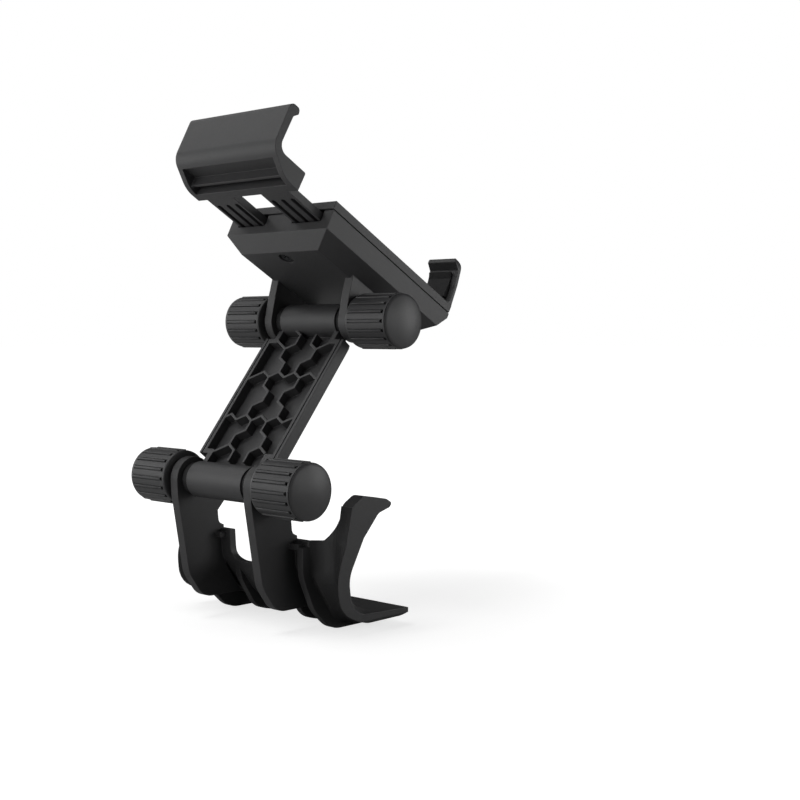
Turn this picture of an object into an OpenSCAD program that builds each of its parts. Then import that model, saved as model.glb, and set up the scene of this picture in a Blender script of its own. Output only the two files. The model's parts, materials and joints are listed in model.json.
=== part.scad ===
// Spring-jaw phone clip on a two-pivot arm, with a cradle that snaps over a game controller.
// Millimetres. +X runs along the pivot bolts, +Y goes into the controller, +Z is up.
// The origin is on the cradle's flat tongue, where the controller's underside rests.

/* [Pose as stored] */
// Distance between the two pivot axes
pivot_span = 60; // [52:0.5:75]
// Arm angle from the vertical
arm_lean = 38.6; // [30:0.1:46]
// Angle of the clamp's front normal from the vertical
clamp_lean = 30; // [20:0.5:40]
// How far the sliding jaw stands open from its closed stop
jaw_open = 13.8; // [2:0.1:24]

/* [Pivots] */
// Arm barrel radius
barrel_r = 5.35; // [5:0.05:6]
// Arm barrel length
barrel_len = 24.2; // [22:0.1:25]
// Friction washer thickness
washer_t = 2.5; // [1.5:0.1:3]
// Friction washer outer radius
washer_r = 4.9; // [4.2:0.1:5]
// Ear thickness
ear_t = 3.1; // [2.4:0.1:3.6]
// Ear tip radius
ear_r = 6.5; // [5.8:0.1:7]
// Bolt shank radius
bolt_r = 2.5; // [1.5:0.05:2.6]
// Width across flats of bolt heads and nuts
hex_af = 8; // [6.5:0.1:8.5]
// Bolt head height
head_h = 3.5; // [2.5:0.1:4.2]
// Nut height
nut_h = 4.7; // [3:0.1:5]

/* [Knobs] */
// Knob radius, over the grip bars
knob_r = 8.4; // [7.6:0.05:9]
// Length of the grip
grip_len = 15.7; // [14:0.1:17]
// Stand-off collar between ear and grip
knob_collar = 1; // [0.6:0.1:2]
// Number of grip bars
bar_n = 18; // [12:1:20]
// Width of a grip bar
bar_w = 1.1; // [0.8:0.05:1.4]
// How far the bars stand out of the grip
bar_rise = 0.2; // [0.1:0.05:0.4]
// Depth of the recess at each end of a bar
bar_dip = 0.8; // [0.4:0.05:1]
// Cap rim height
cap_h = 0.4; // [0.3:0.1:2]
// Cap dome height
cap_dome = 1.5; // [1:0.1:3]
// How much smaller the cap's radius is than the knob's
cap_step = 0.4; // [0.3:0.01:0.6]

/* [Arm] */
// Arm width
arm_w = 34.6; // [33:0.1:36]
// Arm thickness
arm_t = 5; // [4.4:0.1:5.6]
// Rim height above the pivot plane
arm_face = 1.69; // [1.4:0.01:2]
// Rim width
arm_rim = 2.5; // [2:0.1:3.5]
// Depth of the ribbed pocket
arm_pocket = 3; // [2:0.1:3.4]
// Width of the neck between the ears
neck_w = 26.6; // [25.6:0.1:27.4]
// Neck side wall
neck_wall = 1.9; // [1.4:0.1:2.4]
// Where the full width starts, from each pivot axis
shoulder_s = 8.2; // [7.6:0.1:9.5]
// Honeycomb rib thickness
rib_t = 0.75; // [0.6:0.05:1.3]
// Honeycomb column pitch
rib_col = 3.43; // [3.2:0.01:3.6]
// Honeycomb zigzag step
rib_step = 1.9; // [1.5:0.05:2.2]

/* [Clamp] */
// Housing width
clamp_w = 44.4; // [43:0.1:47]
// Housing length
clamp_len = 59.2; // [57:0.1:62]
// Back cover's back face, from the pivot axis
back_w = 9.5; // [9:0.1:11]
// Parting plane, from the pivot axis
part_w = 20.17; // [19.8:0.01:21]
// Front plate thickness
plate_t = 2.87; // [2.4:0.01:3.4]
// Back cover wall
cover_wall = 1.8; // [1.4:0.1:2]
// Bevel height of the back cover
bevel_h = 4.5; // [3:0.1:5]
// Bevel width at the sides
bevel_side = 5.2; // [4:0.1:6]
// Rail width
rail_w = 11.7; // [10.5:0.1:12]
// Rail thickness
rail_t = 2.37; // [2:0.01:2.5]
// Gap between the rails
rail_gap = 12.7; // [12:0.1:14]
// Running clearance of the rails
rail_play = 0.4; // [0.3:0.01:0.45]
// Rail groove width
groove_w = 1.7; // [1.2:0.1:2]
// Length of the whole jaw travel
jaw_travel = 27; // [20:0.5:29]
// Jaw height above the pivot axis
jaw_top = 38; // [34:0.5:42]
// Length of the sliding jaw block
jaw_block = 14.3; // [14:0.1:17]
// Jaw wall thickness
jaw_wall = 2.6; // [2.2:0.1:3.2]
// Gap between the two fixed fingers
finger_gap = 20.4; // [18:0.1:22]
// Fixed finger wall
finger_wall = 1.2; // [1:0.1:1.8]
// Pad thickness
pad_t = 1.2; // [0.8:0.1:1.5]

/* [Cradle] */
// Cradle width
cradle_w = 72; // [70:0.5:80]
// Shell wall thickness
shell_t = 2.2; // [1.8:0.1:2.6]
// Top edge of the shell below the lower pivot axis
shell_top = 15; // [14:0.1:16]
// Tongue's upper face below the lower pivot axis
saddle_z = 37.6; // [36.5:0.1:39]
// Origin's distance behind the lower pivot axis
saddle_y = 31; // [29:0.5:34]
// End of the tongue behind the lower pivot axis
tongue_y = 39; // [37:0.5:44]
// Window width in the shell
window_w = 21.6; // [16:0.2:22]
// Window depth below the shell's top edge
window_h = 10.6; // [8:0.1:11.5]
// Rib thickness
fin_t = 2.2; // [1.6:0.1:2.4]
// Side hook thickness
hook_t = 4.7; // [4:0.1:5.5]
// Side hook top above the shell's top edge
hook_rise = 12.1; // [11:0.1:14]
// Hook liner thickness
liner_t = 1.6; // [1.2:0.1:1.8]

/* [Hidden] */
// Clearances
shaft_gap = 0.08;     // radial, bolt in a bore
side_gap = 0.3;       // between bodies, end to end
seat_gap = 0.05;      // an insert in its pocket
eps = 0.01;
fn_round = 72;
fn_fine = 48;

// Derived: pivots and knobs
bore_r = bolt_r + shaft_gap;
ear_in = barrel_len / 2 + washer_t + side_gap;
ear_out = ear_in + ear_t;
knob_in = ear_out + side_gap;
grip_in = knob_in + knob_collar;
grip_out = grip_in + grip_len;
head_in = grip_in + 5;
spigot_r = knob_r - 2.2;
spigot_h = 1.8;
upper = pivot_span * [sin(arm_lean), cos(arm_lean)];

// Derived: arm
arm_half = arm_w / 2;
arm_back = arm_t - arm_face;
arm_floor = arm_pocket - arm_face;
neck_half = neck_w / 2;
neck_s = washer_r + side_gap;
rib_first = 10;
rib_row = (pivot_span - 2 * rib_first) / 7.37;
rim_line = 0.45;

// Derived: clamp, w is the front normal and u runs up the plate from the pivot axis
clamp_half = clamp_w / 2;
clamp_top = clamp_len / 2;
front_w = part_w + plate_t;
rail_w1 = part_w - 0.75;
rail_w0 = rail_w1 - rail_t;
rail_x0 = rail_gap / 2;
jaw_u0 = clamp_top + side_gap + jaw_open - 0.1;
jaw_u1 = jaw_u0 + jaw_block;
jaw_end = jaw_top - 0.7;
cross_u = 3.5;
screw_head_r = 2.1;
screw_head_h = 1.4;
screw_r = 1.25;
boss_r = 2.9;
top_screw_u = clamp_top - 8.3;
low_screw = [13, 10.1 - clamp_top];
screws = [[0, top_screw_u], low_screw, [-low_screw[0], low_screw[1]]];
rail_len = jaw_u0 - top_screw_u + boss_r + cross_u + side_gap + jaw_travel - jaw_open + 1.6;
rail_end = jaw_u0 - rail_len;
spring_r = 2;
spring_x = 3.3;
spring_w = back_w + cover_wall + spring_r + 0.7;
post_u = 6 - clamp_top;
post_r = 1.2;

// Derived: cradle
cradle_half = cradle_w / 2;
fin_out = cradle_half / 1.5;
fin_in = window_w / 2 - 1.1;
tongue_low = -saddle_z - shell_t;
fin_low = tongue_low - 3.1;
hook_top = hook_rise - shell_top;
hook_in = cradle_half - hook_t;

// An outline's points are [a, b, radius]; each corner becomes an arc that its sides have room for
function flat(p) = [p[0], p[1]];
function dir(v) = v / norm(v);
function corner(p, q, s, r, n) =
    let (u = dir(p - q), v = dir(s - q), h = acos(max(-1, min(1, u * v))) / 2,
        t = min(r / tan(h), norm(p - q) / 2.02, norm(s - q) / 2.02), k = t * tan(h),
        c = q + dir(u + v) * k / sin(h), a = q + u * t - c, b = q + v * t - c,
        a0 = atan2(a[1], a[0]), turn = (atan2(b[1], b[0]) - a0 + 540) % 360 - 180)
    [for (i = [0:n]) c + k * [cos(a0 + turn * i / n), sin(a0 + turn * i / n)]];
function outline(pts, n = 6) = let (m = len(pts)) [for (i = [0:m - 1])
    each pts[i][2] ? corner(flat(pts[(i + m - 1) % m]), flat(pts[i]), flat(pts[(i + 1) % m]), pts[i][2], n)
        : [flat(pts[i])]];
function path(pts, n = 5) = let (m = len(pts)) [for (i = [0:m - 1])
    each i > 0 && i < m - 1 ? corner(flat(pts[i - 1]), flat(pts[i]), flat(pts[i + 1]), pts[i][2], n)
        : [flat(pts[i])]];
function reversed(v) = [for (i = [len(v) - 1:-1:0]) v[i]];
function smooth(t) = t * t * (3 - 2 * t);

// Extrudes along x of outlines drawn in (y, z), and along y of outlines drawn in (x, z)
module along_x(x0, x1) translate([x0, 0, 0]) rotate([90, 0, 90]) linear_extrude(x1 - x0) children();
module along_y(y0, y1) translate([0, y1, 0]) rotate([90, 0, 0]) linear_extrude(y1 - y0) children();
module both_sides() { children(); mirror([1, 0, 0]) children(); }
module side(s) { if (s > 0) children(); else mirror([1, 0, 0]) children(); }
module rod(x0, x1, r, fn = fn_fine) translate([x0, 0, 0]) rotate([0, 90, 0]) cylinder(h = x1 - x0, r = r, $fn = fn);
module ring(x0, x1, r, hole) difference() {
    rod(x0, x1, r, fn_round);
    rod(x0 - eps, x1 + eps, hole);
}
module hex(x0, x1, af) rod(x0, x1, af / sqrt(3), 6);

// Places: the cradle at the lower pivot, the arm along its lean, the clamp at the upper pivot
module at_lower() translate([0, -saddle_y, saddle_z]) children();
module at_arm() at_lower() rotate([-arm_lean, 0, 0]) children();
module at_upper() at_lower() translate([0, upper[0], upper[1]]) rotate([90 - clamp_lean, 0, 0]) children();

// Cradle; the shell's edge lies a little lower between the hooks
edge_drop = 1.1;
shell_edge = -shell_top - edge_drop;
shell_path = [[10, shell_edge], [10.5, -24.5, 7], [20, 2.8 + tongue_low, 10], [28, tongue_low, 14],
    [tongue_y, tongue_low]];
shell_inner = [[10 + shell_t, shell_edge], [10.5 + shell_t, -24, 5], [20.9, 2.9 - saddle_z, 8], [28, -saddle_z, 11],
    [tongue_y, -saddle_z]];
// Outer and inner lines of the flared side at its root, its hollow and its edge
flare_floor = -saddle_z - 0.02;
root_out = [[10, -shell_top], [10.6, -26, 8], [20.5, 2.4 + fin_low, 10], [27, fin_low, 10], [tongue_y, fin_low]];
hollow_out = [[14.2, -shell_top], [14.4, -27, 10], [20.9, 2.9 + fin_low + 1.1, 9], [27, fin_low + 1.4, 8],
    [tongue_y, fin_low + 1.5]];
edge_out = [[13.8, -shell_top], [9.6, -25.5, 12], [10.4, -35, 8], [18.5, -saddle_z - 1.4, 8],
    [tongue_y, -saddle_z - 1.4]];
root_in = [[12.4, -shell_top], [13, -24, 6], [20.6, 2.7 - saddle_z, 8], [28, flare_floor, 9],
    [tongue_y, flare_floor]];
hollow_in = [[15.8, -shell_top], [15.9, -28.5, 6], [20.8, 3 - saddle_z, 8], [27, flare_floor, 8],
    [tongue_y, flare_floor]];
edge_in = [[20.3, -shell_top], [14.4, -25.5, 9], [15, -33.5, 5], [19, 0.8 - saddle_z, 6], [tongue_y, flare_floor]];
flare_x = fin_out - 1.5;
flare_mid = 7;
blend_w = 5.6;
// Height of the flare's top edge: low at the rib, then a curve that rises into the hook
function flare_rise(x) = let (q = max(0, min(1, (x - hook_in + blend_w) / blend_w)))
    9.2 * (1 - sqrt(1 - q * q)) - (edge_drop - 0.03) * (1 - smooth(min(1, q * 1.6)));
// Share of the way from the root's line to the hollow's, round outside and looser inside
function turn_out(x) = let (q = max(0, min(1, (x - fin_out) / (flare_x + flare_mid - fin_out))))
    sqrt(1 - (1 - q) * (1 - q));
function turn_in(x) = 1 - pow(1 - min(1, (x - flare_x) / flare_mid), 2);
function flare_line(a, b, c, x, turn) = let (d = x - flare_x, e = cradle_half - flare_x - flare_mid)
    d <= flare_mid ? (1 - turn) * path(a) + turn * path(b)
        : let (t = pow((d - flare_mid) / e, 1.7)) (1 - t) * path(b) + t * path(c);
// A line's upper end moved to the flare's top edge, leaning back above the shell as the hook does
function topped(line, x, lean) = let (rise = flare_rise(x), down = (line[0] - line[1]) / (line[0][1] - line[1][1]))
    concat([[line[0][0] + (rise > 0 ? lean * min(rise, 6) : down[0] * rise), rise - shell_top],
        line[0] - 1.5 * down], [for (i = [1:len(line) - 1]) line[i]]);
function flare_ring(x) = [for (p = concat(
    topped(flare_line(root_out, hollow_out, edge_out, x, turn_out(x)), x, hook_lean),
    reversed(topped(flare_line(root_in, hollow_in, edge_in, x, turn_in(x)), x, 0)))) [x, p[0], p[1]]];

module flare() {
    // Slices, closer together where the skin turns fast
    xs = concat([flare_x], [for (i = [0:6]) fin_out + (flare_x + flare_mid - fin_out) * (1 - cos(15 * i))],
        [for (i = [1:6]) let (s = flare_x + flare_mid) s + (hook_in - s) * sin(15 * i)],
        [for (i = [1:4]) hook_in + hook_t * i / 4]);
    rings = [for (x = xs) flare_ring(x)];
    m = len(rings[0]);
    k = len(xs);
    polyhedron(points = [for (r = rings) each r], faces = concat(
        [for (i = [0:k - 2], j = [0:m - 1]) let (a = i * m + j, b = i * m + (j + 1) % m) each
            [[a, b + m, b], [a, a + m, b + m]]],
        [for (j = [0:m / 2 - 2]) each [[j, j + 1, m - 1 - j], [j + 1, m - 2 - j, m - 1 - j]]],
        [for (j = [0:m / 2 - 2]) let (o = (k - 1) * m) each
            [[o + j, o + m - 1 - j, o + j + 1], [o + j + 1, o + m - 1 - j, o + m - 2 - j]]]));
}

// Ear outline, with its long front edge running down to the shell
module ear_shape() {
    circle(r = ear_r, $fn = fn_round);
    polygon(outline([[-ear_r, 0], [-ear_r + 0.2, -4.5, 16], [-2.2, -28.5, 10], [3.2, 1.3 - saddle_z, 6],
        [18, 1.3 - saddle_z], [12, -27.5], [10 + shell_t / 2, -shell_top], [9.2, -14.2, 3], [8.6, -8, 6],
        [ear_r, 0]]));
}
module outer_fin() polygon(outline([[7.7, -shell_top - 2.6, 0.6], [7.7, -26, 12], [12.3, -36.5, 12],
    [19, fin_low, 9], [tongue_y - 1, fin_low, 2], [tongue_y - 1, tongue_low + shell_t / 2], [24, tongue_low + 1],
    [13.2, -27], [11.6, -shell_top - 2.6]]));
module inner_fin() polygon(outline([[12.6, -26.5], [13.8, -31.5, 6], [20, 1.6 + fin_low, 8], [27, fin_low, 10],
    [tongue_y - 1, fin_low, 2], [tongue_y - 1, tongue_low + shell_t / 2], [24, tongue_low + 1], [14.5, -27]]));

// Side hook above the shell's top edge, in (y, z)
hook_lean = 0.283;
hook_turn = 0.085;
hook_tip = [32, hook_top - 3];
hook_edge = [[20.3, -shell_top], [26.4, hook_top - 5.5, 3], [31, hook_top - 4.2, 0.8]];
module hook_shape() polygon(outline([[13.8, -shell_top], [15.5, -9, 4], [15.6, -5.6, 4], [20.3, hook_top, 3],
    [29.6, hook_top - 1.6, 3], [hook_tip[0], hook_tip[1], 0.8], hook_edge[2], hook_edge[1], hook_edge[0],
    [18.6, -18], [14, -18]]));
// Liner along the hook's inner edge, let into it
module liner_shape(grow) polygon([for (p = concat(path([[30.4, hook_top - 4.35], [26.4, hook_top - 5.5, 3],
    [20.3, -shell_top, 20], [14.7, -24.4, 8], [14.5, -27.6]]), reversed(path([[30.4, hook_top - 4.35 + liner_t + grow],
    [25.6 - grow, hook_top - 5.3 + liner_t + grow, 3], [19.1 - grow, -shell_top + liner_t, 20],
    [14.9 - liner_t - grow, -23.4, 8], [14.5 - liner_t - grow, -27.6]])))) p]);
module liner(grow = 0) along_x(hook_in + 1.8 - grow, cradle_half - 0.5 + grow) liner_shape(grow);

module cradle_shell() difference() {
    union() {
        along_x(-fin_out + 0.5, fin_out - 0.5) polygon(concat(path(shell_path), reversed(path(shell_inner))));
        both_sides() {
            flare();
            // The hook's front turns a little, as the flare's does
            multmatrix([[1, 0, 0, 0], [-hook_turn, 1, 0, hook_turn * cradle_half], [0, 0, 1, 0]])
                along_x(hook_in, cradle_half) hook_shape();
        }
    }
    // Window in the shell's top edge
    along_y(5, 17) polygon(outline([[-window_w / 2, 0], [-window_w / 2, -shell_top - window_h, 4],
        [window_w / 2, -shell_top - window_h, 4], [window_w / 2, 0]]));
}

module cradle() color("dimgray") at_lower() difference() {
    union() {
        cradle_shell();
        both_sides() {
            along_x(ear_in, ear_out) ear_shape();
            along_x(fin_out - fin_t, fin_out) outer_fin();
            along_x(fin_in, fin_in + fin_t) inner_fin();
            // Shelves beside the ears
            translate([ear_out - eps, 7.9, -shell_top - 3.5]) cube([fin_out - fin_t - ear_out + 2 * eps, 3, 1.6]);
            translate([ear_in - 2.4, 7.9, -shell_top - 3.5]) cube([2.4 + eps, 3, 1.6]);
        }
    }
    rod(-ear_out - eps, ear_out + eps, bore_r);
    both_sides() liner(seat_gap);
}

module grip_liner_left() color("black") at_lower() side(-1) liner();
module grip_liner_right() color("black") at_lower() side(1) liner();

// Knob, cap, bolt, nut and washer, drawn round the x axis on the +X side
module knob_shape() {
    knob_body();
    knob_bars();
}
module knob_body() difference() {
    body_r = knob_r - bar_rise;
    union() {
        rod(knob_in, grip_in + 0.6, washer_r + 0.6, fn_round);
        rotate([90, 0, 90]) rotate_extrude($fn = fn_round) polygon(outline([[0, grip_in], [body_r, grip_in, 0.5],
            [body_r, grip_out, 0.3], [0, grip_out]], 3));
    }
    rod(knob_in - eps, head_in + 1, bore_r);
    hex(head_in, grip_out + eps, hex_af + 2 * seat_gap);
    rod(grip_out - spigot_h - side_gap, grip_out + eps, spigot_r + seat_gap, fn_round);
    // Slots that the grip bars stand in
    for (i = [0:bar_n - 1]) rotate([360 * (i + 0.5) / bar_n, 0, 0])
        translate([grip_in + 1.7, -bar_w / 2 - 0.05, knob_r - bar_rise - bar_dip])
            cube([grip_len - 2.2, bar_w + 0.1, bar_dip + 1]);
}
module knob_bars() for (i = [0:bar_n - 1]) rotate([360 * (i + 0.5) / bar_n, 0, 0])
    translate([grip_in + 2.6, -bar_w / 2 - 0.1, knob_r - bar_rise - bar_dip - 0.3])
        cube([grip_len - 4, bar_w + 0.2, bar_dip + 0.3 + bar_rise]);
module cap_shape() {
    cap_r = knob_r - cap_step;
    ball = (cap_r * cap_r + cap_dome * cap_dome) / (2 * cap_dome);
    sweep = asin((cap_r - 0.5) / ball);
    rotate([90, 0, 90]) rotate_extrude($fn = fn_round) polygon(concat([[0, grip_out - spigot_h],
        [spigot_r, grip_out - spigot_h], [spigot_r, grip_out + 0.15], [cap_r, grip_out + 0.15],
        [cap_r, grip_out + cap_h]], [for (i = [0:8]) let (a = sweep * (1 - i / 8))
        [ball * sin(a), grip_out + cap_h + cap_dome - ball + ball * cos(a)]]));
}
module bolt_shape() {
    rod(-head_in, head_in + nut_h + 0.8, bolt_r);
    hex(-head_in - head_h, -head_in, hex_af);
}
module nut_shape() difference() {
    hex(head_in + seat_gap, head_in + nut_h, hex_af);
    rod(head_in, head_in + nut_h + eps, bolt_r + 0.05);
}
module washer_shape() ring(barrel_len / 2, barrel_len / 2 + washer_t, washer_r, bore_r);

module lower_bolt() color("silver") at_lower() bolt_shape();
module lower_nut() color("silver") at_lower() nut_shape();
module lower_knob_left() color("gray") at_lower() side(-1) knob_shape();
module lower_knob_right() color("gray") at_lower() side(1) knob_shape();
module lower_cap_left() color("darkgray") at_lower() side(-1) cap_shape();
module lower_cap_right() color("darkgray") at_lower() side(1) cap_shape();
module lower_washer_left() color("black") at_lower() side(-1) washer_shape();
module lower_washer_right() color("black") at_lower() side(1) washer_shape();
module upper_bolt() color("silver") at_upper() bolt_shape();
module upper_nut() color("silver") at_upper() nut_shape();
module upper_knob_left() color("gray") at_upper() side(-1) knob_shape();
module upper_knob_right() color("gray") at_upper() side(1) knob_shape();
module upper_cap_left() color("darkgray") at_upper() side(-1) cap_shape();
module upper_cap_right() color("darkgray") at_upper() side(1) cap_shape();
module upper_washer_left() color("black") at_upper() side(-1) washer_shape();
module upper_washer_right() color("black") at_upper() side(1) washer_shape();

// Arm, drawn along z from the lower pivot; its ribbed face looks towards -y
function cell(i, j) = [-9.5 + rib_col * i, rib_first + rib_row * j + ((i + j + 20) % 2) * rib_step];
module rib(p, q) {
    d = q - p;
    translate(p) rotate(atan2(d[1], d[0])) translate([-rib_t / 3, -rib_t / 2]) square([norm(d) + rib_t / 1.5, rib_t]);
}
module rib_run(cells) for (k = [0:len(cells) - 2])
    rib(cell(cells[k][0], cells[k][1]), cell(cells[k + 1][0], cells[k + 1][1]));
module long_rib(a, b) let (p = cell(a[0], a[1]), q = cell(b[0], b[1])) rib(p, p + (q - p) * 3.2);
module honeycomb() {
    rib_run([for (i = [0:8]) [i, 5]]);
    rib_run([for (i = [-2:8]) [i, 2]]);
    // Ribs that run straight on into the rim
    long_rib([0, 5], [-1, 5]);
    long_rib([1, 7], [0, 7]);
    long_rib([5, 7], [6, 7]);
    long_rib([1, 0], [0, 0]);
    rib_run([[1, 7], [2, 7], [2, 8], [1, 8]]);
    rib_run([[1, 7], [1, 6], [2, 6], [2, 5]]);
    rib_run([[4, 8], [4, 7], [5, 7]]);
    rib_run([[5, 7], [5, 6], [4, 6], [4, 5]]);
    rib_run([[1, 5], [1, 4], [2, 4], [2, 3], [1, 3], [1, 2]]);
    rib_run([[5, 5], [5, 4], [4, 4], [4, 3], [5, 3], [5, 2]]);
    rib_run([[2, 2], [2, 1], [1, 1], [1, 0]]);
    rib_run([[1, 0], [2, 0], [2, -1]]);
    rib_run([[4, 2], [4, 1], [5, 1], [5, 0], [6, 0]]);
    rib_run([[5, 0], [4, 0], [4, -1]]);
}
module arm_section(half, bevel) polygon([[-half, -arm_face], [half, -arm_face], [half, arm_back - bevel],
    [half - bevel, arm_back], [-half + bevel, arm_back], [-half, arm_back - bevel]]);
// Pocket outline in (x, s), inside the rim and the neck walls
module pocket_shape(grow = 0) {
    translate([-arm_half + arm_rim - grow, shoulder_s + 1.6 - grow])
        square([arm_w - 2 * arm_rim + 2 * grow, pivot_span - 2 * shoulder_s - 3.2 + 2 * grow]);
    translate([-neck_half + neck_wall - grow, 0]) square([neck_w - 2 * neck_wall + 2 * grow, pivot_span]);
}
module arm_barrels() for (s = [0, pivot_span]) translate([0, 0, s])
    rod(-barrel_len / 2, barrel_len / 2, barrel_r, fn_round);

module arm() color("dimgray") at_arm() difference() {
    union() {
        difference() {
            union() {
                translate([0, 0, shoulder_s]) linear_extrude(pivot_span - 2 * shoulder_s) arm_section(arm_half, 1.8);
                translate([0, 0, neck_s]) linear_extrude(pivot_span - 2 * neck_s) arm_section(neck_half, 1);
                linear_extrude(pivot_span) arm_section(barrel_len / 2, 0.5);
            }
            along_y(-arm_face - 1, arm_floor) pocket_shape();
            // Fine line along each rim
            both_sides() translate([arm_half - arm_rim / 2 - rim_line / 2, -arm_face - eps, shoulder_s - eps])
                cube([rim_line, rim_line, pivot_span - 2 * shoulder_s + 2 * eps]);
        }
        along_y(-arm_face, arm_floor + 0.5) intersection() {
            honeycomb();
            pocket_shape(0.4);
        }
        arm_barrels();
    }
    for (s = [0, pivot_span]) translate([0, 0, s]) rod(-barrel_len / 2 - eps, barrel_len / 2 + eps, bore_r);
}

// Clamp, drawn with y as w and z as u
module cover_form(in) intersection() {
    top = clamp_top - 0.3 - in;
    low = clamp_top + 0.15 - in;
    floor_w = back_w + in;
    along_x(-clamp_half, clamp_half) polygon([[part_w, top], [back_w + bevel_h, top - 0.3],
        [floor_w, clamp_top - 4.8 - in], [floor_w, 6.7 - clamp_top + in], [back_w + bevel_h, 3 - clamp_top + in],
        [part_w - 1.67, -low], [part_w, -low]]);
    translate([0, 0, -clamp_top - 1]) linear_extrude(clamp_len + 2) polygon([[-clamp_half + in, part_w],
        [-clamp_half + in, back_w + bevel_h], [-clamp_half + bevel_side + in / 2, floor_w],
        [clamp_half - bevel_side - in / 2, floor_w], [clamp_half - in, back_w + bevel_h], [clamp_half - in, part_w]]);
}
module at_screws() for (p = screws) translate([p[0], 0, p[1]]) rotate([-90, 0, 0]) children();
module clamp_ear() {
    root = 9.7;
    circle(r = ear_r, $fn = fn_round);
    polygon([[back_w + cover_wall / 2, root], [5, 8.3], [-0.4 * ear_r, 0.916 * ear_r],
        [-0.4 * ear_r, -0.916 * ear_r], [5, -8.3], [back_w + cover_wall / 2, -root]]);
}

module clamp_back_cover() color("dimgray") at_upper() difference() {
    union() {
        difference() {
            cover_form(0);
            difference() {
                cover_form(cover_wall);
                at_screws() cylinder(h = part_w, r = boss_r, $fn = fn_fine);
            }
            // Bosses end short of the rails' plane and meet those of the front plate
            at_screws() translate([0, 0, rail_w0 - 1.4]) cylinder(h = part_w, r = boss_r + 0.2, $fn = fn_fine);
            // Slots for the rails in the upper end wall
            both_sides() translate([rail_x0 - rail_play, rail_w0 - rail_play, clamp_top - 6])
                cube([rail_w + 2 * rail_play, part_w, 8]);
        }
        both_sides() along_x(ear_in, ear_out) clamp_ear();
        // Spring posts
        both_sides() translate([spring_x, back_w + cover_wall / 2, post_u]) rotate([-90, 0, 0])
            cylinder(h = spring_w + spring_r + 0.4 - back_w - cover_wall / 2, r = post_r, $fn = fn_fine);
    }
    rod(-ear_out - eps, ear_out + eps, bore_r);
    at_screws() {
        translate([0, 0, back_w - 1]) cylinder(h = 1 + screw_head_h + 0.4, r = screw_head_r + 0.3, $fn = fn_fine);
        translate([0, 0, back_w - 1]) cylinder(h = 20, r = screw_r + seat_gap, $fn = fn_fine);
    }
}

// Fixed finger in (w, u)
finger_u = 0.1 - clamp_top;
module finger_shape() polygon(outline([[part_w, finger_u], [front_w, finger_u], [30, finger_u + 0.6, 12],
    [jaw_top, finger_u + 2.1, 1.7], [jaw_top, finger_u + 5, 0.9], [jaw_top - 1.7, finger_u + 5.1, 0.5],
    [jaw_top - 3.5, finger_u + 1.6 + finger_wall, 0.9], [28, finger_u + finger_wall + 0.25, 9],
    [front_w + 0.5, finger_u + finger_wall, 1.6], [front_w - 0.2, finger_u + finger_wall + 2.4]]));
// The finger seen along u: its outer top corner is well rounded
module finger_front() polygon(outline([[finger_gap / 2, part_w], [finger_gap / 2, jaw_top + 1, 0.8],
    [clamp_half - eps, jaw_top + 1, 4], [clamp_half - eps, part_w]]));

module clamp_front_plate() color("gray") at_upper() difference() {
    union() {
        translate([-clamp_half, part_w, -clamp_top]) cube([clamp_w, plate_t, clamp_len]);
        both_sides() intersection() {
            along_x(0, clamp_half) finger_shape();
            translate([0, 0, -clamp_top - 2]) linear_extrude(12) finger_front();
        }
        at_screws() translate([0, 0, rail_w0 - 1.4])
            cylinder(h = part_w - rail_w0 + 1.4 + eps, r = boss_r, $fn = fn_fine);
    }
    at_screws() cylinder(h = front_w - 1, r = screw_r + seat_gap, $fn = fn_fine);
    front_pad_block(seat_gap);
}

module front_pad_block(grow) translate([-16 - grow, front_w - pad_t / 2 - grow, -20 - grow])
    cube([32 + 2 * grow, pad_t + grow, 42 + 2 * grow]);
module front_pad() color("black") at_upper() front_pad_block(0);

module cover_screws() color("silver") at_upper() at_screws() {
    translate([0, 0, back_w + 0.4]) cylinder(h = screw_head_h - seat_gap, r = screw_head_r, $fn = fn_fine);
    translate([0, 0, back_w + 1]) cylinder(h = front_w - back_w - 2.4, r = screw_r, $fn = fn_fine);
}

// Pad on a fixed finger's inner face
pad_face = finger_u + finger_wall + pad_t + 0.3;
module finger_pad() {
    u0 = finger_u + finger_wall + seat_gap;
    along_x(finger_gap / 2 + 0.6, clamp_half - 2) polygon([[front_w + 2, u0 + 0.06], [28, u0 + 0.3],
        [jaw_top - 4.4, u0 + 1.5], [jaw_top - 4.4, pad_face + 1], [jaw_top - 6.5, pad_face], [front_w + 2, pad_face]]);
}
module fixed_jaw_pad_left() color("black") at_upper() side(-1) finger_pad();
module fixed_jaw_pad_right() color("black") at_upper() side(1) finger_pad();

module spring_tube() translate([spring_x, spring_w, post_u + post_r + seat_gap])
    difference() {
        h = rail_end - post_u - post_r - seat_gap + cross_u / 2 - post_r - seat_gap;
        cylinder(h = h, r = spring_r, $fn = fn_fine);
        translate([0, 0, -eps]) cylinder(h = h + 2 * eps, r = spring_r - 0.5, $fn = fn_fine);
    }
module spring_left() color("silver") at_upper() side(-1) spring_tube();
module spring_right() color("silver") at_upper() side(1) spring_tube();

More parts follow.
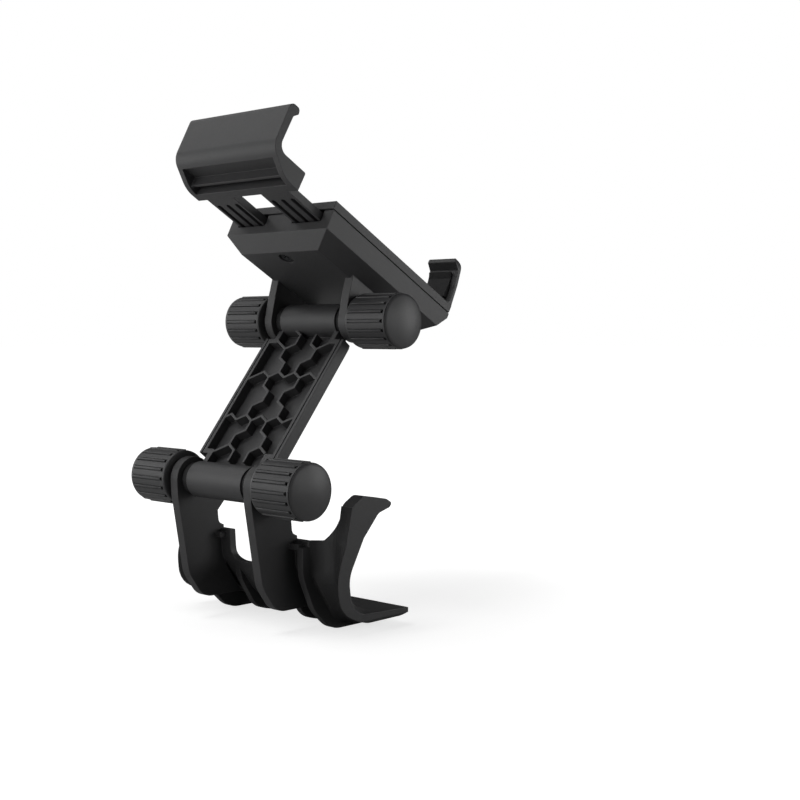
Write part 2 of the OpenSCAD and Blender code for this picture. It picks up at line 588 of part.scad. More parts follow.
// Sliding jaw in (w, u): floor, wall and lip, with a rounded back
module jaw_shape() polygon(outline([[rail_w0, jaw_u0], [front_w - 0.1, jaw_u0, 0.5],
    [front_w - 0.1, jaw_u1 - jaw_wall, 3], [jaw_end - 3.3, jaw_u1 - jaw_wall, 0.9], [jaw_end - 1.7, jaw_u1 - 4, 0.5],
    [jaw_end, jaw_u1 - 3.6, 1.2], [jaw_end, jaw_u1 + 0.1, 2.3], [22.6 * front_w / 23.04, jaw_u1 - 0.4, 5],
    [rail_w0 + 0.1, jaw_u1 - 8.7, 12]], 8));
module jaw_body() difference() {
    half = clamp_half - 0.05;
    along_x(-half, half) jaw_shape();
    // Pocket in the back, crossed by a thin rib
    difference() {
        translate([-half + 2, rail_w0 - 2, jaw_u0 + 2.9]) cube([2 * half - 4, front_w - rail_w0 + 0.4, 8.1]);
        translate([-half, rail_w0 + 1.4, jaw_u0 + 4.9]) cube([2 * half, 8, 0.9]);
        translate([-half + 1.9, rail_w0 + 1.1, jaw_u0 + 5.35]) rotate([-90, 0, 0])
            cylinder(h = 8, r = 0.6, $fn = fn_fine);
    }
}
module rail() difference() {
    translate([rail_x0, rail_w0, rail_end]) cube([rail_w, rail_t, rail_len + 1]);
    // Grooves along the rail's back, with round ends
    for (k = [-1:1]) translate([rail_x0 + rail_w / 2 + k * 4.05, rail_w0 + 1.6, 0]) rotate([90, 0, 0])
        linear_extrude(2) {
            translate([-groove_w / 2, rail_end + 4]) square([groove_w, rail_len - 8.1]);
            for (z = [rail_end + 4, jaw_u0 - 4.1]) translate([0, z]) circle(r = groove_w / 2, $fn = 24);
        }
}
module sliding_jaw() color("gray") at_upper() {
    jaw_body();
    both_sides() rail();
    // Bar across the rails' inner ends, with a post for each spring
    translate([-rail_x0 - eps, rail_w0, rail_end]) cube([rail_gap + 2 * eps, rail_t, cross_u]);
    both_sides() translate([spring_x, rail_w0 + 0.5, rail_end + cross_u / 2]) rotate([90, 0, 0])
        cylinder(h = rail_w0 + 0.5 - spring_w + spring_r + 0.3, r = post_r, $fn = fn_fine);
}
module sliding_jaw_pad() color("black") at_upper()
    translate([3 - clamp_half, front_w + 3.2, jaw_u1 - jaw_wall - pad_t - seat_gap])
        cube([clamp_w - 6, jaw_top - front_w - 7.2, pad_t]);

cradle();
grip_liner_left();
grip_liner_right();
lower_bolt();
lower_nut();
lower_knob_left();
lower_knob_right();
lower_cap_left();
lower_cap_right();
lower_washer_left();
lower_washer_right();
arm();
upper_bolt();
upper_nut();
upper_knob_left();
upper_knob_right();
upper_cap_left();
upper_cap_right();
upper_washer_left();
upper_washer_right();
clamp_back_cover();
clamp_front_plate();
cover_screws();
front_pad();
fixed_jaw_pad_left();
fixed_jaw_pad_right();
spring_left();
spring_right();
sliding_jaw();
sliding_jaw_pad();
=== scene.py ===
import bpy
import bmesh
import json
import math
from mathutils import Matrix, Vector


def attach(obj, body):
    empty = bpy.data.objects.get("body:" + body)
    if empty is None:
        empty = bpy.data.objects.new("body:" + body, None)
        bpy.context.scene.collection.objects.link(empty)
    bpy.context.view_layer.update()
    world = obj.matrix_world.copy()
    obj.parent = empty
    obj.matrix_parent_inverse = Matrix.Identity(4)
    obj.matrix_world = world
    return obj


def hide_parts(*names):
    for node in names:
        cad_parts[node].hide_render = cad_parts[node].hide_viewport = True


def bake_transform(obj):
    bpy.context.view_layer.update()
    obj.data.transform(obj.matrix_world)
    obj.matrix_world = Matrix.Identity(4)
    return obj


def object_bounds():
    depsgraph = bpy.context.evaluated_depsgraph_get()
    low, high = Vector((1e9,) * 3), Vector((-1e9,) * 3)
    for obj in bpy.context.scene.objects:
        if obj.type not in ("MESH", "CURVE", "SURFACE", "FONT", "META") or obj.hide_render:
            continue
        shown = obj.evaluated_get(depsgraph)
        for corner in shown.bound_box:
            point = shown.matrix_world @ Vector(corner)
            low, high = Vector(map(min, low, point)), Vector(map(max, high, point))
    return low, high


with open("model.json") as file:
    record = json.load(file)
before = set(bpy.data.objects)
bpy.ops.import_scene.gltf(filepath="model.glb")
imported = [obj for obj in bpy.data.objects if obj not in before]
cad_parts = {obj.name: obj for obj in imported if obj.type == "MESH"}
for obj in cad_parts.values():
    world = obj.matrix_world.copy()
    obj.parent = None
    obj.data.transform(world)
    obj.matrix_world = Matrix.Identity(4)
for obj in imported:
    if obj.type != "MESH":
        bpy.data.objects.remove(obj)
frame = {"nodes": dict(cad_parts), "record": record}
CAD_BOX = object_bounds()
NODES = frame["nodes"]
BODY_OF = {n: b for b, ns in frame["record"]["behaviour"]["bodies"].items() for n in ns}
SLOT_OF = {s["node"]: s["material_slot"] for s in frame["record"]["subparts"]}
MM = 0.001

# Places, as in the part's source: the two pivots and the clamp's two directions
LOWER = Vector((0, -31, 37.6)) * MM
ARM_LEAN = math.radians(38.6)
ARM_LENGTH = 60
CLAMP_LEAN = math.radians(30)
ARM_UP = Vector((0, math.sin(ARM_LEAN), math.cos(ARM_LEAN)))
UPPER = LOWER + ARM_UP * ARM_LENGTH * MM
PLATE_UP = Vector((0, -math.cos(CLAMP_LEAN), math.sin(CLAMP_LEAN)))
PLATE_OUT = Vector((0, math.sin(CLAMP_LEAN), math.cos(CLAMP_LEAN)))


def on_clamp(x, w, u):
    """A point of the clamp: across, out along the front normal, up along the plate; mm."""
    return UPPER + (Vector((x, 0, 0)) + PLATE_OUT * w + PLATE_UP * u) * MM


# Materials
EDGE_BEND = (0.99, 0.86)  # cosine between the rounded and the true normal: edge begins, edge at its full
EDGE_WEAR_AND_HIGHLIGHT = 0.8           # how far an edge goes to its own lighter tone: wear, and a painted highlight along the edge
NOISE_SPAN = (0.3, 0.7)   # the part of the noise's range that shows
NOISE_ROUGH = 0.55
GLOSS_LOW, GLOSS_HIGH = 0.05, 0.06
CLOUD_MM = 9              # size of the soft clouds between a material's two tones
BEVEL_SAMPLES = 6
# The real grain of a mould face or of plating is about 0.05 to 0.1 mm. It is drawn at 0.2 to 0.4 mm,
# as coarse as it needs to be to show from a step away.


def linear(code):
    """An sRGB hex colour as linear RGBA."""
    parts = [int(code[i:i + 2], 16) / 255 for i in (0, 2, 4)]
    return [c / 12.92 if c <= 0.04045 else ((c + 0.055) / 1.055) ** 2.4 for c in parts] + [1]


def add(tree, kind, settings=None, **inputs):
    """Adds a node; an input is a value or another node's output. i3 is the input number 3."""
    made = tree.nodes.new(kind)
    for key, value in (settings or {}).items():
        setattr(made, key, value)
    for key, value in inputs.items():
        socket = made.inputs[int(key[1:])] if key[1:].isdigit() else made.inputs[key.replace("_", " ")]
        if isinstance(value, bpy.types.NodeSocket):
            tree.links.new(value, socket)
        else:
            socket.default_value = value
    return made


def surface(name, dark, light, rough, grain_mm, bump_mm, metallic=0, ior=1.5, round_mm=0.2, wear_and_edge_highlight=None):
    """Two close tones in soft clouds, a fine grain in gloss and relief, rounded edges painted lighter as
    wear and as a painted highlight.
    """
    mat = bpy.data.materials.new(name)
    mat.use_nodes = True
    tree = mat.node_tree
    shader = tree.nodes["Principled BSDF"]
    place = add(tree, "ShaderNodeTexCoord").outputs["Object"]
    clouds = add(tree, "ShaderNodeTexNoise", Vector=place, Scale=1 / (CLOUD_MM * MM), Detail=3,
                 Roughness=NOISE_ROUGH).outputs["Fac"]
    fine = add(tree, "ShaderNodeTexNoise", Vector=place, Scale=1 / (grain_mm * MM), Detail=2,
               Roughness=NOISE_ROUGH).outputs["Fac"]
    colour = add(tree, "ShaderNodeMix", {"data_type": "RGBA"}, i0=clouds, i6=linear(dark),
                 i7=linear(light)).outputs[2]
    rounded = add(tree, "ShaderNodeBevel", {"samples": BEVEL_SAMPLES}, Radius=round_mm * MM).outputs[0]
    if wear_and_edge_highlight:
        # Where the rounded normal leaves the true one there is an edge; it is painted lighter in patches, as
        # wear and as a painted highlight along the rounding
        true = add(tree, "ShaderNodeNewGeometry").outputs["Normal"]
        bend = add(tree, "ShaderNodeVectorMath", {"operation": "DOT_PRODUCT"}, i0=rounded,
                   i1=true).outputs["Value"]
        edge = add(tree, "ShaderNodeMapRange", i0=bend, i1=EDGE_BEND[0], i2=EDGE_BEND[1], i3=0.0,
                   i4=EDGE_WEAR_AND_HIGHLIGHT).outputs[0]
        patch = add(tree, "ShaderNodeMath", {"operation": "MULTIPLY"}, i0=edge, i1=clouds).outputs[0]
        colour = add(tree, "ShaderNodeMix", {"data_type": "RGBA"}, i0=patch, i6=colour,
                     i7=linear(wear_and_edge_highlight)).outputs[2]
    tree.links.new(colour, shader.inputs["Base Color"])
    gloss = add(tree, "ShaderNodeMapRange", i0=fine, i1=NOISE_SPAN[0], i2=NOISE_SPAN[1],
                i3=rough - GLOSS_LOW, i4=rough + GLOSS_HIGH).outputs[0]
    tree.links.new(gloss, shader.inputs["Roughness"])
    relief = add(tree, "ShaderNodeBump", Height=fine, Distance=bump_mm * MM, Strength=1.0,
                 Normal=rounded).outputs[0]
    tree.links.new(relief, shader.inputs["Normal"])
    shader.inputs["Metallic"].default_value = metallic
    if not metallic:
        shader.inputs["IOR"].default_value = ior
    return mat


# ABS from a spark-eroded mould: a fine even grain that spreads the light, dark charcoal, with lighter edges
# that are wear and a painted highlight
abs_moulded = surface("abs_moulded", "353536", "3b3b3c", 0.50, 0.30, 0.010, ior=1.53, round_mm=0.3,
                      wear_and_edge_highlight="5c5c5d")
# The cradle's ABS is painted a shade darker than the rest: painted shade for the shadow the cradle lies in,
# as the photograph shows it. Its lighter edges are wear and a painted highlight, as on the rest
abs_cradle_painted_shade = surface("abs_cradle_painted_shade", "2a2a2b", "303031", 0.52, 0.30, 0.010, ior=1.53, round_mm=0.3,
                     wear_and_edge_highlight="5a5a5b")
# The grips' ABS is the same, a little silkier from handling, with the same lighter edges of wear and painted
# highlight
abs_grip = surface("abs_grip", "323233", "383839", 0.47, 0.28, 0.008, ior=1.53, round_mm=0.12,
                   wear_and_edge_highlight="606061")
# The end caps come from a smoother mould face, so they show a soft broad shine
abs_satin = surface("abs_satin", "363637", "3a3a3b", 0.42, 0.40, 0.003, ior=1.53, round_mm=0.12)
# Silicone pads and washers: dead black, no clear highlight
silicone = surface("silicone", "19191a", "1f1f20", 0.72, 0.35, 0.02, ior=1.42, round_mm=0.15)
# Zinc-plated steel fasteners: bright grey with a faint grain
zinc_steel = surface("zinc_steel", "a9abae", "babcbe", 0.32, 0.25, 0.003, metallic=1, round_mm=0.08)
# The cover screws are blackened steel: dark, with a dull metal shine
black_steel = surface("black_steel", "47484a", "515254", 0.36, 0.25, 0.003, metallic=1, round_mm=0.08)
# Hard-drawn spring wire: darker and smoother than the fasteners
spring_wire = surface("spring_wire", "85878a", "96989b", 0.28, 0.2, 0.002, metallic=1, round_mm=0.02)
FINISH = {"black_plastic": abs_moulded, "knob_plastic": abs_grip, "cap_plastic": abs_satin,
          "black_rubber": silicone, "steel": zinc_steel}

# Meshes
WELD = 1e-7          # m, joins points that a formula made twice
CAD_WELD = 0.002     # mm, joins the points of a CAD mesh
FLAT_ANGLE = 0.3     # degrees, below which two CAD faces are one flat face
MOULD_ANGLE = 25     # degrees, above which an edge is rounded
FLAT_WEIGHT = 60     # keeps the wide flat faces' own normal


def piece(name, bm, node, finish=None, sharp=35, weighted=False, ends=None):
    """Turns a bmesh into a piece that stands for a CAD node and rides with it, or stays where it is drawn.
    """
    mesh = bpy.data.meshes.new(name)
    bmesh.ops.recalc_face_normals(bm, faces=bm.faces)
    bm.to_mesh(mesh)
    bm.free()
    mesh.shade_smooth()
    mesh.set_sharp_from_angle(angle=math.radians(sharp))
    obj = bpy.data.objects.new(name, mesh)
    bpy.context.scene.collection.objects.link(obj)
    mesh.materials.append(finish or FINISH[SLOT_OF[node]])
    if weighted:
        # Wide flat faces keep their own normal, so only the narrow rounded edges shade round
        mod = obj.modifiers.new("flat_faces", "WEIGHTED_NORMAL")
        mod.keep_sharp = True
        mod.weight = FLAT_WEIGHT
    if ends:
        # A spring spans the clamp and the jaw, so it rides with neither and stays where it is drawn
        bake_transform(obj)
    else:
        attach(obj, BODY_OF[node])
    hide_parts(node)
    return obj


def cad_mesh(node):
    """A CAD node's form as a bmesh, with the triangles of each flat face joined."""
    src = NODES[node].data
    bm = bmesh.new()
    verts = [bm.verts.new(v.co) for v in src.vertices]
    for face in src.polygons:
        try:
            bm.faces.new([verts[i] for i in face.vertices])
        except ValueError:
            continue
    bmesh.ops.remove_doubles(bm, verts=bm.verts, dist=CAD_WELD * MM)
    bmesh.ops.dissolve_limit(bm, angle_limit=math.radians(FLAT_ANGLE), verts=bm.verts, edges=bm.edges)
    return bm


def moulded(node, round_mm, finish=None, change=None):
    """A CAD node's form with its edges rounded as the mould leaves them."""
    bm = cad_mesh(node)
    if change:
        change(bm)
    edges = [e for e in bm.edges
             if len(e.link_faces) == 2 and e.calc_face_angle(0) > math.radians(MOULD_ANGLE)]
    bmesh.ops.bevel(bm, geom=edges, offset=round_mm * MM, segments=2, profile=0.5, affect="EDGES",
                    clamp_overlap=True)
    return piece(node + "_moulded", bm, node, finish, weighted=True)


def grid(bm, rows):
    """Joins closed rows of points, of equal length, into a skin."""
    made = [[bm.verts.new(p) for p in row] for row in rows]
    for a, b in zip(made, made[1:]):
        for i in range(len(a)):
            j = (i + 1) % len(a)
            bm.faces.new((a[i], a[j], b[j], b[i]))
    return made


def end_cap(bm, row, middle):
    """Closes a row with a fan round its middle."""
    tip = bm.verts.new(middle)
    for i, v in enumerate(row):
        bm.faces.new((v, row[(i + 1) % len(row)], tip))


def round_turn(n, shift=0):
    """n equal angles of a full turn."""
    return [2 * math.pi * (k + shift) / n for k in range(n)]


def at_axis(centre, x, r, turn):
    """A point at x along a pivot's axis and r from it; mm."""
    return centre + Vector((x, r * math.cos(turn), r * math.sin(turn))) * MM


def hexagon(turn):
    """How much farther than its flat a hexagon reaches at an angle."""
    return 1 / math.cos((turn % (math.pi / 3)) - math.pi / 6)


# Knobs: 18 grip bars stand in slots of the turned body, with a dark dip at their +X ends
BARS = 18
BAR_STEPS = (-0.60, -0.58, -0.36, -0.33, -0.24, 0.24, 0.33, 0.36, 0.58, 0.60, 1.1, 1.75)
BAR_HALF = 0.35    # half a bar's width
SLOT_HALF = 0.59   # half the width of the slot round it
BAR_TOP = 0.27
BAR_SHOULDER = (0.29, 0.1)  # the bar drops by 0.1 beyond 0.29 from its middle
BAR_TIP_DROP = 0.08
SLOT_DEPTH = 0.32
DIP_DEPTH = 0.8
BAR_START = 20.3
BAR_STOP = 33.75
SLOT_STOP = 34.45
GRIP_R = 8.13
GRIP_END = 35.2
CAP_SEAT = 33.1
HEX_FLOOR = 24.3
HEX_R = 4.05
BORE_R = 2.6
# Collar and rounded inner face, then the rounded outer end with the cap's seat, as (x, r)
KNOB_LEAD = ((18.3, BORE_R), (18.3, 4.9), (18.4, 5.0), (19.3, 5.1), (19.3, 7.65), (19.38, 7.92),
             (19.55, 8.07), (19.8, GRIP_R))
KNOB_TAIL = ((GRIP_END - 0.2, GRIP_R), (GRIP_END - 0.06, 8.07), (GRIP_END, 7.92), (GRIP_END, 6.25),
             (CAP_SEAT, 6.2))
GRIP_ROWS = (BAR_START - 0.02, BAR_START + 0.001, BAR_START + 0.08, 24, 29, BAR_STOP - 0.1,
             BAR_STOP - 0.001, BAR_STOP + 0.02, SLOT_STOP - 0.001, SLOT_STOP + 0.02)


def bar_height(x, off):
    """Height of the grip over its turned radius, off mm from a bar's middle."""
    off = abs(off)
    if off > SLOT_HALF or not BAR_START < x < SLOT_STOP:
        return 0.0
    if x > BAR_STOP:
        return -DIP_DEPTH
    if off > BAR_HALF:
        return -SLOT_DEPTH
    near_end = min(x - BAR_START, BAR_STOP - x) < 0.05
    edge, drop = BAR_SHOULDER
    return BAR_TOP - (drop if off > edge else 0) - (BAR_TIP_DROP if near_end else 0)


def knob(node, centre, side):
    """Grip with its collar, bore, hexagon pocket and the seat of the end cap."""
    turns = []
    for k in range(BARS):
        turns += [(math.pi + 2 * math.pi * k / BARS + off / GRIP_R, off) for off in BAR_STEPS]
    rows = [[at_axis(centre, side * x, r, t) for t, off in turns] for x, r in KNOB_LEAD]
    grip = []
    for z in GRIP_ROWS:
        # The dips lie towards +X on every knob, so a left knob's grip is laid out from its outer end
        x = z if side > 0 else BAR_START + SLOT_STOP - z
        grip.append([at_axis(centre, side * x, GRIP_R + bar_height(z, off), t) for t, off in turns])
    rows += grip if side > 0 else grip[::-1]
    rows += [[at_axis(centre, side * x, r, t) for t, off in turns] for x, r in KNOB_TAIL]
    # Hexagon pocket for the bolt's head or the nut, then the bolt's bore
    for x in (CAP_SEAT, HEX_FLOOR):
        rows.append([at_axis(centre, side * x, HEX_R * hexagon(t), t) for t, off in turns])
    rows.append([at_axis(centre, side * HEX_FLOOR, BORE_R, t) for t, off in turns])
    rows.append(rows[0])
    bm = bmesh.new()
    grid(bm, rows)
    bmesh.ops.remove_doubles(bm, verts=bm.verts, dist=WELD)
    return piece(node + "_grip", bm, node, sharp=40)


# End caps: a short spigot, a crisp seam and a low dome that is part of a ball
CAP_TOP = 36.9
CAP_FOOT = GRIP_END + 0.13
CAP_INNER = 33.2
DOME_R = 7.94
CAP_RIM = ((CAP_INNER, 5.9), (33.35, 6.1), (CAP_FOOT, 6.1), (CAP_FOOT, 7.86), (CAP_FOOT + 0.03, 7.97),
           (CAP_FOOT + 0.12, 8.0))


def cap(node, centre, side):
    """End cap with its spigot, seam and dome."""
    rise = CAP_TOP - CAP_FOOT - 0.2
    ball = (DOME_R ** 2 + rise ** 2) / (2 * rise)
    reach = math.asin(DOME_R / ball)
    leans = [reach * (1 - k / 10) for k in range(10)]
    dome = [(CAP_TOP - ball + ball * math.cos(a), ball * math.sin(a)) for a in leans]
    bm = bmesh.new()
    made = grid(bm, [[at_axis(centre, side * x, r, t) for t in round_turn(96)]
                     for x, r in list(CAP_RIM) + dome])
    end_cap(bm, made[0], at_axis(centre, side * CAP_INNER, 0, 0))
    end_cap(bm, made[-1], at_axis(centre, side * CAP_TOP, 0, 0))
    return piece(node + "_dome", bm, node, sharp=50)


# Washer between an ear and the arm's barrel, as (x, r)
WASHER = ((12.12, BORE_R), (12.12, 4.75), (12.27, 4.9), (14.43, 4.9), (14.58, 4.75), (14.58, BORE_R))


def washer(node, centre, side):
    """A washer with broken edges, turned round the pivot's axis."""
    bm = bmesh.new()
    rows = [[at_axis(centre, side * x, r, t) for t in round_turn(48)] for x, r in WASHER]
    grid(bm, rows + [rows[0]])
    bmesh.ops.remove_doubles(bm, verts=bm.verts, dist=WELD)
    return piece(node + "_turned", bm, node)


# Bolt: the head sits in the left knob, the thread ends beyond the right knob's nut
BOLT_R = 2.5
BOLT_TIP = 29.8
TIP_START = 29
THREAD_START = 14
THREAD_PITCH = 0.8
THREAD_DEPTH = 0.36
HEAD_START = -24.3
HEAD_END = -27.8
HEAD_FLAT = 4.0
HEAD_CORNER = 4.62
HEAD_ROWS = ((HEAD_START, 0.12), (-24.45, 0), (-27.5, 0), (HEAD_END, 0.35))


def bolt(node, centre):
    """Shank with a rolled thread at its nut end, and a hexagon head with turned corners."""
    bm = bmesh.new()
    n = 24
    rows = []
    x = HEAD_START
    while x < BOLT_TIP:
        row = []
        for k, t in enumerate(round_turn(n)):
            r = BOLT_R
            if x > THREAD_START:
                r -= THREAD_DEPTH * abs(((x / THREAD_PITCH + k / n) % 1) * 2 - 1)
            if x > TIP_START:
                r = min(r, BOLT_R - (x - TIP_START) * 0.5)
            row.append(at_axis(centre, x, r, t))
        rows.append(row)
        x += 0.2 if x >= THREAD_START - 0.2 else 2
    made = grid(bm, rows)
    end_cap(bm, made[-1], at_axis(centre, BOLT_TIP, 0, 0))
    head = [[at_axis(centre, hx, min(HEAD_FLAT * hexagon(t), HEAD_CORNER - cut) - cut * 0.3, t)
             for t in round_turn(48)] for hx, cut in HEAD_ROWS]
    made = grid(bm, head)
    end_cap(bm, made[0], at_axis(centre, HEAD_START, 0, 0))
    end_cap(bm, made[-1], at_axis(centre, HEAD_END, 0, 0))
    return piece(node + "_threaded", bm, node, sharp=25)


def clamp_span(node):
    """The node's box in the clamp's own directions: lower and upper (x, w, u) in mm."""
    pts = [(v.co - UPPER) / MM for v in NODES[node].data.vertices]
    rows = [(p.x, p.dot(PLATE_OUT), p.dot(PLATE_UP)) for p in pts]
    return tuple(min(r[i] for r in rows) for i in range(3)), tuple(max(r[i] for r in rows) for i in range(3))


# Springs: close turns of wire between the posts
SPRING_X = 3.3
WIRE_R = 0.26
RING_R = 1.72
TURN_PITCH = 0.9
SPRING_END = 0.6
TURN_STEPS = 16
WIRE_SIDES = 7


def coil(node, side):
    """Tension spring of close wire turns, as long as its CAD node."""
    (_, low_w, low), (_, high_w, high) = clamp_span(node)
    mid_w = (low_w + high_w) / 2
    length = high - low - 2 * SPRING_END
    count = int(length / TURN_PITCH) * TURN_STEPS
    line = []
    for i in range(count + 1):
        a = 2 * math.pi * i / TURN_STEPS
        line.append((side * SPRING_X + RING_R * math.cos(a), mid_w + RING_R * math.sin(a),
                     low + SPRING_END + length * i / count))
    points = [on_clamp(*p) for p in line]
    bm = bmesh.new()
    rows = []
    for i, p in enumerate(points):
        ahead = (points[min(i + 1, count)] - points[max(i - 1, 0)]).normalized()
        out = (p - on_clamp(side * SPRING_X, mid_w, line[i][2])).normalized()
        third = ahead.cross(out).normalized()
        out = third.cross(ahead)
        rows.append([p + (out * math.cos(t) + third * math.sin(t)) * WIRE_R * MM
                     for t in round_turn(WIRE_SIDES)])
    made = grid(bm, rows)
    end_cap(bm, made[0], points[0])
    end_cap(bm, made[-1], points[-1])
    return piece(node + "_coil", bm, node, spring_wire, sharp=80, ends=(points[0], points[-1]))


# Cover screws: their places as (x, u), and their outline as (w, radius, radius for the recess,
# half width of the recess's arm there), from the middle of the head to the tip
SCREWS = ((0, 21.3), (13, -19.5), (-13, -19.5))
RECESS = 0.65
SCREW_ROWS = ((9.95, 0.02, 0.5, 0.24), (9.95, 0.35, 0.35, 0.22), (9.95, 0.7, 0.7, 0.22),
              (9.95, 1.15, 1.15, 0.24), (9.93, 1.25, 1, 0), (9.9, 1.85, 1, 0), (10.0, 2.06, 1, 0),
              (10.3, 2.1, 1, 0), (11.2, 2.1, 1, 0), (11.25, 1.25, 1, 0), (19.8, 1.2, 1, 0),
              (20.6, 0.3, 1, 0))


def cross_screws(node):
    """Three screws whose heads carry a cross recess."""
    bm = bmesh.new()
    for cx, cu in SCREWS:
        rows = []
        for w, r, reach, half in SCREW_ROWS:
            row = []
            for t in round_turn(48, 0.5):
                across = min(abs(math.sin(t)), abs(math.cos(t))) * reach
                sink = RECESS if across < half else 0.0
                row.append(on_clamp(cx + r * math.cos(t), w + sink, cu + r * math.sin(t)))
            rows.append(row)
        made = grid(bm, rows)
        bm.faces.new(made[-1])
        bm.faces.new(made[0])
    bmesh.ops.remove_doubles(bm, verts=bm.verts, dist=WELD)
    return piece(node + "_heads", bm, node, black_steel, sharp=25)


# Ribs of a silicone pad: how far apart and how high, and a rib's four corners as shares of its pitch
RIB_PITCH = 1.5
RIB_HEIGHT = 0.35
RIB_FOOT_A, RIB_TOP_A, RIB_TOP_B, RIB_FOOT_B = 0.2, 0.32, 0.68, 0.8


def rib_line(start, end, edge, floor, top):
    """The ribbed face of a pad from start to end, as (place, height), with a plain edge at each end."""
    count = int((end - start - 1) / RIB_PITCH)
    step = (end - start - 2 * edge) / count
    line = []
    for k in range(count):
        a = start + edge + step * k
        line += [(a + step * RIB_FOOT_A, floor), (a + step * RIB_TOP_A, top),
                 (a + step * RIB_TOP_B, top), (a + step * RIB_FOOT_B, floor)]
    return line


def ribbed_pad(node, lies_on_plate):
    """A silicone pad with fine ribs, on the front plate or on the jaw's wall."""
    (x0, w0, low), (x1, w1, high) = clamp_span(node)
    if lies_on_plate:
        floor = w1 - RIB_HEIGHT
        ribs = [(w, u) for u, w in rib_line(low, high, 0.6, floor, w1)]
        line = [(w0, low), (floor, low)] + ribs + [(floor, high), (w0, high)]
    else:
        floor = low + RIB_HEIGHT
        line = [(w0, high), (w0, floor)] + rib_line(w0, w1, 0.5, floor, low) + [(w1, floor), (w1, high)]
    rows = [[on_clamp(x, w, u) for w, u in line] for x in (x0, x0 + 0.2, x1 - 0.2, x1)]
    bm = bmesh.new()
    made = grid(bm, rows)
    bm.faces.new(made[0])
    bm.faces.new(made[-1])
    bmesh.ops.remove_doubles(bm, verts=bm.verts, dist=WELD)
    return piece(node + "_ribbed", bm, node, sharp=30)


# Parting line between the clamp's two shells: where it lies, how wide, and which points are on its rim
SEAM_W = 20.17
SEAM_OPEN = 0.3
SEAM_RIM_X = 20
SEAM_RIM_U = 28


def open_seam(bm):
    """Lifts the front plate's joint face off the back cover, so the parting line is a real groove."""
    for v in bm.verts:
        spot = (v.co - UPPER) / MM
        on_joint = abs(spot.dot(PLATE_OUT) - SEAM_W) < 0.05
        if on_joint and (abs(spot.x) > SEAM_RIM_X or abs(spot.dot(PLATE_UP)) > SEAM_RIM_U):
            v.co += PLATE_OUT * SEAM_OPEN * MM


for level, centre in (("lower", LOWER), ("upper", UPPER)):
    for hand, side in (("left", -1), ("right", 1)):
        knob(f"{level}_knob_{hand}", centre, side)
        cap(f"{level}_cap_{hand}", centre, side)
        washer(f"{level}_washer_{hand}", centre, side)
    bolt(f"{level}_bolt", centre)
    moulded(f"{level}_nut", 0.1)
coil("spring_left", -1)
coil("spring_right", 1)
cross_screws("cover_screws")
ribbed_pad("front_pad", True)
ribbed_pad("sliding_jaw_pad", False)
for hand in ("left", "right"):
    moulded(f"fixed_jaw_pad_{hand}", 0.15)
for hand in ("left", "right"):
    moulded(f"grip_liner_{hand}", 0.1)
# The cradle takes the darker ABS, which is painted shade
moulded("cradle", 0.12, abs_cradle_painted_shade)
moulded("arm", 0.1)
moulded("clamp_back_cover", 0.2)
moulded("clamp_front_plate", 0.12, change=open_seam)
moulded("sliding_jaw", 0.4)

# Camera at the photograph's viewpoint
camera = bpy.data.objects.new("camera", bpy.data.cameras.new("camera"))
camera.location = (0.2997, -0.2808, 0.0817)
camera.rotation_euler = (math.radians(87.021), 0, math.radians(42.754))
camera.data.lens = 60.0
camera.data.sensor_width = 36.0
camera.data.clip_start = 0.01
bpy.context.scene.collection.objects.link(camera)
bpy.context.scene.camera = camera

# Soft studio lamps round the object: azimuth and height in degrees, distance m, size m, power W
MIDDLE = Vector((0, 0, 0.06))
LAMPS = (("front_top", -100, 62, 1.2, 0.5, 4.2), ("front_left", -130, 10, 0.45, 0.4, 0.48),
         ("left", -170, 10, 0.45, 0.25, 0.3), ("left_top", -170, 50, 0.45, 0.25, 0.19),
         ("front", -95, 10, 0.45, 0.25, 0.33), ("right", 15, 8, 0.45, 0.25, 0.24),
         ("back", 50, 8, 0.45, 0.25, 0.38))
AMBIENT = 0.07
# The floor's own glow for the camera: from this share near the object to all at some way off, in m
GLOW_NEAR = (0.05, 0.72)
GLOW_FAR = (0.25, 1.0)
FLOOR_HALF = 6
FLOOR_DROP = 0.0002


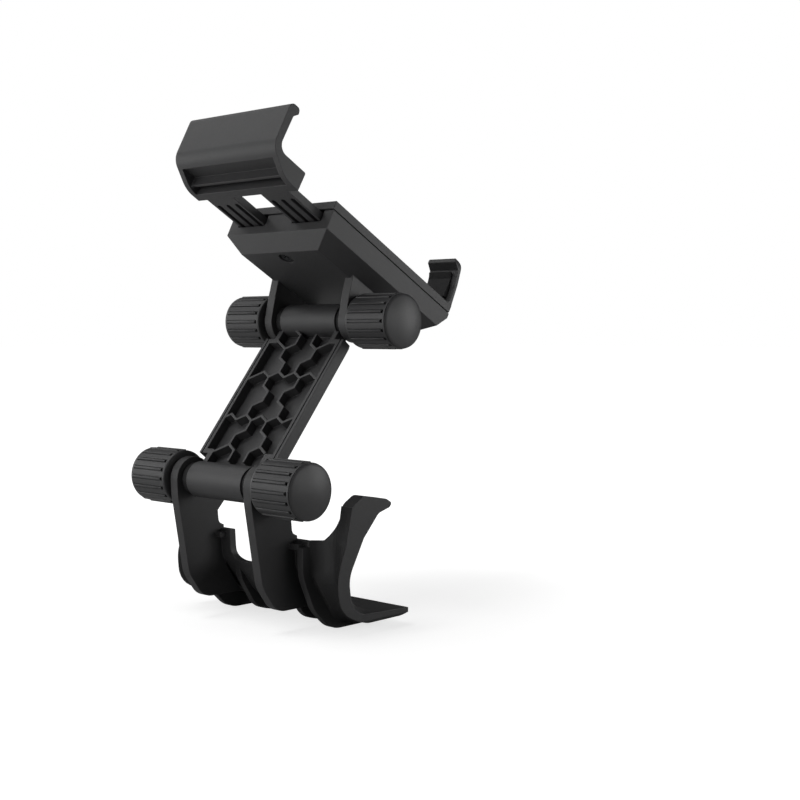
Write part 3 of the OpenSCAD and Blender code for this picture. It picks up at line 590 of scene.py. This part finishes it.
def lamp(name, azimuth, height, distance, size, watts):
    """A round area lamp that faces the object and doesn't show itself."""
    light = bpy.data.lights.new(name, "AREA")
    light.shape = "DISK"
    light.size = size
    light.energy = watts
    obj = bpy.data.objects.new(name, light)
    a, h = math.radians(azimuth), math.radians(height)
    aim = Vector((math.cos(a) * math.cos(h), math.sin(a) * math.cos(h), math.sin(h)))
    obj.location = MIDDLE + aim * distance
    obj.rotation_euler = (MIDDLE - obj.location).to_track_quat("-Z", "Y").to_euler()
    obj.visible_camera = False
    bpy.context.scene.collection.objects.link(obj)


def paper_floor():
    """White paper: it keeps the object's soft shadow and runs out to plain white."""
    mat = bpy.data.materials.new("white_paper_floor")
    mat.use_nodes = True
    tree = mat.node_tree
    paper = tree.nodes["Principled BSDF"]
    paper.inputs["Base Color"].default_value = linear("c3c3c3")
    paper.inputs["Roughness"].default_value = 0.95
    paper.inputs["Specular IOR Level"].default_value = 0.0
    spot = add(tree, "ShaderNodeTexCoord").outputs["Object"]
    away = add(tree, "ShaderNodeVectorMath", {"operation": "LENGTH"}, i0=spot).outputs["Value"]
    glow = add(tree, "ShaderNodeMapRange", i0=away, i1=GLOW_NEAR[0], i2=GLOW_FAR[0], i3=GLOW_NEAR[1],
               i4=GLOW_FAR[1]).outputs[0]
    seen = add(tree, "ShaderNodeLightPath").outputs["Is Camera Ray"]
    shine = add(tree, "ShaderNodeMath", {"operation": "MULTIPLY"}, i0=glow, i1=seen).outputs[0]
    tree.links.new(shine, paper.inputs["Emission Strength"])
    paper.inputs["Emission Color"].default_value = linear("ffffff")
    return mat


for entry in LAMPS:
    lamp(*entry)

bm = bmesh.new()
bmesh.ops.create_grid(bm, x_segments=1, y_segments=1, size=FLOOR_HALF)
floor_mesh = bpy.data.meshes.new("floor")
bm.to_mesh(floor_mesh)
bm.free()
floor_mesh.materials.append(paper_floor())
floor = bpy.data.objects.new("floor", floor_mesh)
floor.location = (0, 0, CAD_BOX[0][2] - FLOOR_DROP)
bpy.context.scene.collection.objects.link(floor)

# White behind the object for the camera, a weak even light for everything else
world = bpy.data.worlds.new("studio")
bpy.context.scene.world = world
world.use_nodes = True
back = world.node_tree.nodes["Background"]
back.inputs["Color"].default_value = linear("ffffff")
rays = add(world.node_tree, "ShaderNodeLightPath")
level = add(world.node_tree, "ShaderNodeMapRange", i0=rays.outputs["Is Camera Ray"], i1=0.0, i2=1.0,
            i3=AMBIENT, i4=1.0)
world.node_tree.links.new(level.outputs[0], back.inputs["Strength"])

bpy.context.scene.view_settings.view_transform = "Standard"
